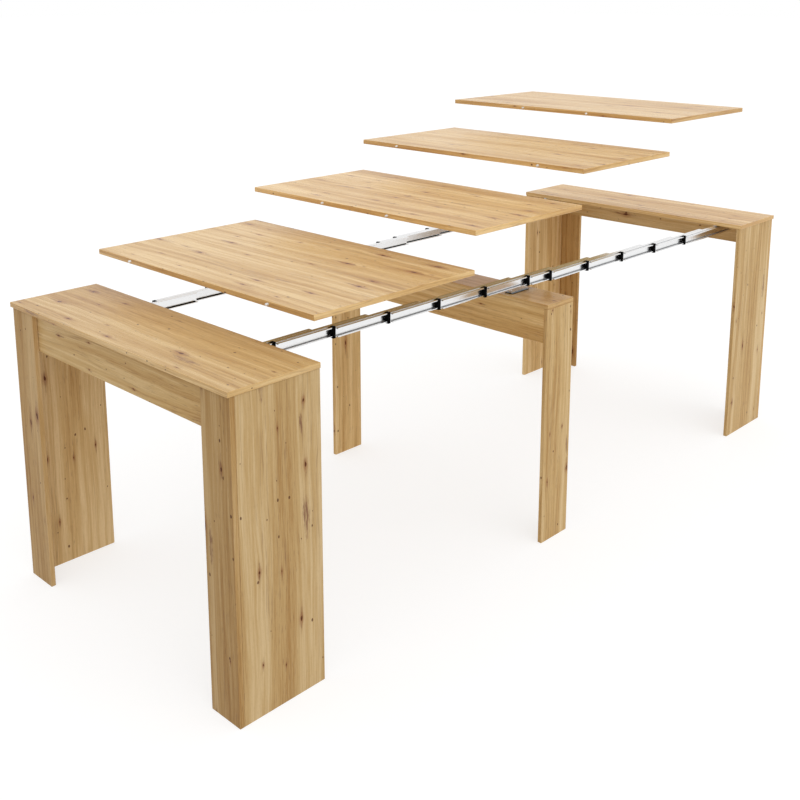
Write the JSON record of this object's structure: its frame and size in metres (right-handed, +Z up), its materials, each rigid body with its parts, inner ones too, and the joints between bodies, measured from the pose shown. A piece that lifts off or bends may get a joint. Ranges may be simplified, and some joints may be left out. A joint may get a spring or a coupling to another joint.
{
  "type": "extending dining table",
  "caption": "Extending console table: board end frames, a lower middle frame, loose pegged leaves, and telescopic rails whose nested sections slide apart to carry the leaves.",
  "frame": {"origin": "on the floor under the middle of the open table", "axes": "+X to the right across the table, +Y from the near frame to the far frame, +Z up"},
  "size_m": [0.9, 2.3676, 1.1455],
  "materials": {
    "oak_board": "satin oak decor with knots",
    "white_plastic": "plain white",
    "rail_aluminium": "bright, with black plastic end caps",
    "bracket_steel": "dull grey"
  },
  "bodies": {
    "near_frame": {"near_top": "oak_board", "near_side_left": "oak_board", "near_side_right": "oak_board", "near_strip_left": "oak_board", "near_strip_right": "oak_board", "near_apron": "oak_board", "near_plate_left": "bracket_steel", "near_plate_right": "bracket_steel", "rail_left_00": "rail_aluminium", "rail_right_00": "rail_aluminium"},
    "far_frame": {"far_top": "oak_board", "far_side_left": "oak_board", "far_side_right": "oak_board", "far_strip_left": "oak_board", "far_strip_right": "oak_board", "far_apron": "oak_board", "far_plate_left": "bracket_steel", "far_plate_right": "bracket_steel", "rail_left_11": "rail_aluminium", "rail_right_11": "rail_aluminium"},
    "mid_frame": {"mid_top": "oak_board", "mid_leg_left": "oak_board", "mid_leg_right": "oak_board", "mid_apron_near": "oak_board", "mid_apron_far": "oak_board", "mid_bracket_left": "bracket_steel", "mid_bracket_right": "bracket_steel", "rail_left_05": "rail_aluminium", "rail_right_05": "rail_aluminium"},
    "section_left_01": {"rail_left_01": "rail_aluminium"},
    "section_left_02": {"rail_left_02": "rail_aluminium"},
    "section_left_03": {"rail_left_03": "rail_aluminium"},
    "section_left_04": {"rail_left_04": "rail_aluminium"},
    "section_left_06": {"rail_left_06": "rail_aluminium"},
    "section_left_07": {"rail_left_07": "rail_aluminium"},
    "section_left_08": {"rail_left_08": "rail_aluminium"},
    "section_left_09": {"rail_left_09": "rail_aluminium"},
    "section_left_10": {"rail_left_10": "rail_aluminium"},
    "section_right_01": {"rail_right_01": "rail_aluminium"},
    "section_right_02": {"rail_right_02": "rail_aluminium"},
    "section_right_03": {"rail_right_03": "rail_aluminium"},
    "section_right_04": {"rail_right_04": "rail_aluminium"},
    "section_right_06": {"rail_right_06": "rail_aluminium"},
    "section_right_07": {"rail_right_07": "rail_aluminium"},
    "section_right_08": {"rail_right_08": "rail_aluminium"},
    "section_right_09": {"rail_right_09": "rail_aluminium"},
    "section_right_10": {"rail_right_10": "rail_aluminium"},
    "loose_leaf_1": {"leaf_1": "oak_board", "peg_1_left": "white_plastic", "peg_1_right": "white_plastic"},
    "loose_leaf_2": {"leaf_2": "oak_board", "peg_2_left": "white_plastic", "peg_2_right": "white_plastic"},
    "loose_leaf_3": {"leaf_3": "oak_board", "peg_3_left": "white_plastic", "peg_3_right": "white_plastic"},
    "loose_leaf_4": {"leaf_4": "oak_board", "peg_4_left": "white_plastic", "peg_4_right": "white_plastic"}
  },
  "joints": [
    {"name": "extension", "type": "slide", "parent": "near_frame", "child": "far_frame", "axis": [0, 1, 0], "range_m": [-1.8776, 0]},
    {"name": "mid_slide", "type": "slide", "parent": "near_frame", "child": "mid_frame", "axis": [0, 1, 0], "range_m": [-0.90465, 0]},
    {"name": "slide_left_01", "type": "slide", "parent": "near_frame", "child": "section_left_01", "axis": [0, 1, 0], "range_m": [-0.18109, 0]},
    {"name": "slide_left_02", "type": "slide", "parent": "near_frame", "child": "section_left_02", "axis": [0, 1, 0], "range_m": [-0.36198, 0]},
    {"name": "slide_left_03", "type": "slide", "parent": "near_frame", "child": "section_left_03", "axis": [0, 1, 0], "range_m": [-0.54287, 0]},
    {"name": "slide_left_04", "type": "slide", "parent": "near_frame", "child": "section_left_04", "axis": [0, 1, 0], "range_m": [-0.72376, 0]},
    {"name": "slide_left_06", "type": "slide", "parent": "near_frame", "child": "section_left_06", "axis": [0, 1, 0], "range_m": [-1.08554, 0]},
    {"name": "slide_left_07", "type": "slide", "parent": "near_frame", "child": "section_left_07", "axis": [0, 1, 0], "range_m": [-1.18064, 0]},
    {"name": "slide_left_08", "type": "slide", "parent": "near_frame", "child": "section_left_08", "axis": [0, 1, 0], "range_m": [-1.35493, 0]},
    {"name": "slide_left_09", "type": "slide", "parent": "near_frame", "child": "section_left_09", "axis": [0, 1, 0], "range_m": [-1.52922, 0]},
    {"name": "slide_left_10", "type": "slide", "parent": "near_frame", "child": "section_left_10", "axis": [0, 1, 0], "range_m": [-1.70351, 0]},
    {"name": "slide_right_01", "type": "slide", "parent": "near_frame", "child": "section_right_01", "axis": [0, 1, 0], "range_m": [-0.18109, 0]},
    {"name": "slide_right_02", "type": "slide", "parent": "near_frame", "child": "section_right_02", "axis": [0, 1, 0], "range_m": [-0.36198, 0]},
    {"name": "slide_right_03", "type": "slide", "parent": "near_frame", "child": "section_right_03", "axis": [0, 1, 0], "range_m": [-0.54287, 0]},
    {"name": "slide_right_04", "type": "slide", "parent": "near_frame", "child": "section_right_04", "axis": [0, 1, 0], "range_m": [-0.72376, 0]},
    {"name": "slide_right_06", "type": "slide", "parent": "near_frame", "child": "section_right_06", "axis": [0, 1, 0], "range_m": [-1.08554, 0]},
    {"name": "slide_right_07", "type": "slide", "parent": "near_frame", "child": "section_right_07", "axis": [0, 1, 0], "range_m": [-1.18064, 0]},
    {"name": "slide_right_08", "type": "slide", "parent": "near_frame", "child": "section_right_08", "axis": [0, 1, 0], "range_m": [-1.35493, 0]},
    {"name": "slide_right_09", "type": "slide", "parent": "near_frame", "child": "section_right_09", "axis": [0, 1, 0], "range_m": [-1.52922, 0]},
    {"name": "slide_right_10", "type": "slide", "parent": "near_frame", "child": "section_right_10", "axis": [0, 1, 0], "range_m": [-1.70351, 0]},
    {"name": "lay_leaf_1", "type": "slide", "parent": "near_frame", "child": "loose_leaf_1", "axis": [0, 0, -1], "range_m": [0, 0.0985]},
    {"name": "lay_leaf_2", "type": "slide", "parent": "near_frame", "child": "loose_leaf_2", "axis": [0, 0, -1], "range_m": [0, 0.197]},
    {"name": "lay_leaf_3", "type": "slide", "parent": "near_frame", "child": "loose_leaf_3", "axis": [0, 0, -1], "range_m": [0, 0.2955]},
    {"name": "lay_leaf_4", "type": "slide", "parent": "near_frame", "child": "loose_leaf_4", "axis": [0, 0, -1], "range_m": [0, 0.394]}
  ],
  "couplings": [
    {"joint": "mid_slide", "follows": "extension", "ratio": 0.4817},
    {"joint": "slide_left_01", "follows": "extension", "ratio": 0.096341},
    {"joint": "slide_left_02", "follows": "extension", "ratio": 0.19268},
    {"joint": "slide_left_03", "follows": "extension", "ratio": 0.28902},
    {"joint": "slide_left_04", "follows": "extension", "ratio": 0.38536},
    {"joint": "slide_left_06", "follows": "extension", "ratio": 0.57805},
    {"joint": "slide_left_07", "follows": "extension", "ratio": 0.6287},
    {"joint": "slide_left_08", "follows": "extension", "ratio": 0.72152},
    {"joint": "slide_left_09", "follows": "extension", "ratio": 0.81435},
    {"joint": "slide_left_10", "follows": "extension", "ratio": 0.90717},
    {"joint": "slide_right_01", "follows": "extension", "ratio": 0.096341},
    {"joint": "slide_right_02", "follows": "extension", "ratio": 0.19268},
    {"joint": "slide_right_03", "follows": "extension", "ratio": 0.28902},
    {"joint": "slide_right_04", "follows": "extension", "ratio": 0.38536},
    {"joint": "slide_right_06", "follows": "extension", "ratio": 0.57805},
    {"joint": "slide_right_07", "follows": "extension", "ratio": 0.6287},
    {"joint": "slide_right_08", "follows": "extension", "ratio": 0.72152},
    {"joint": "slide_right_09", "follows": "extension", "ratio": 0.81435},
    {"joint": "slide_right_10", "follows": "extension", "ratio": 0.90717}
  ]
}
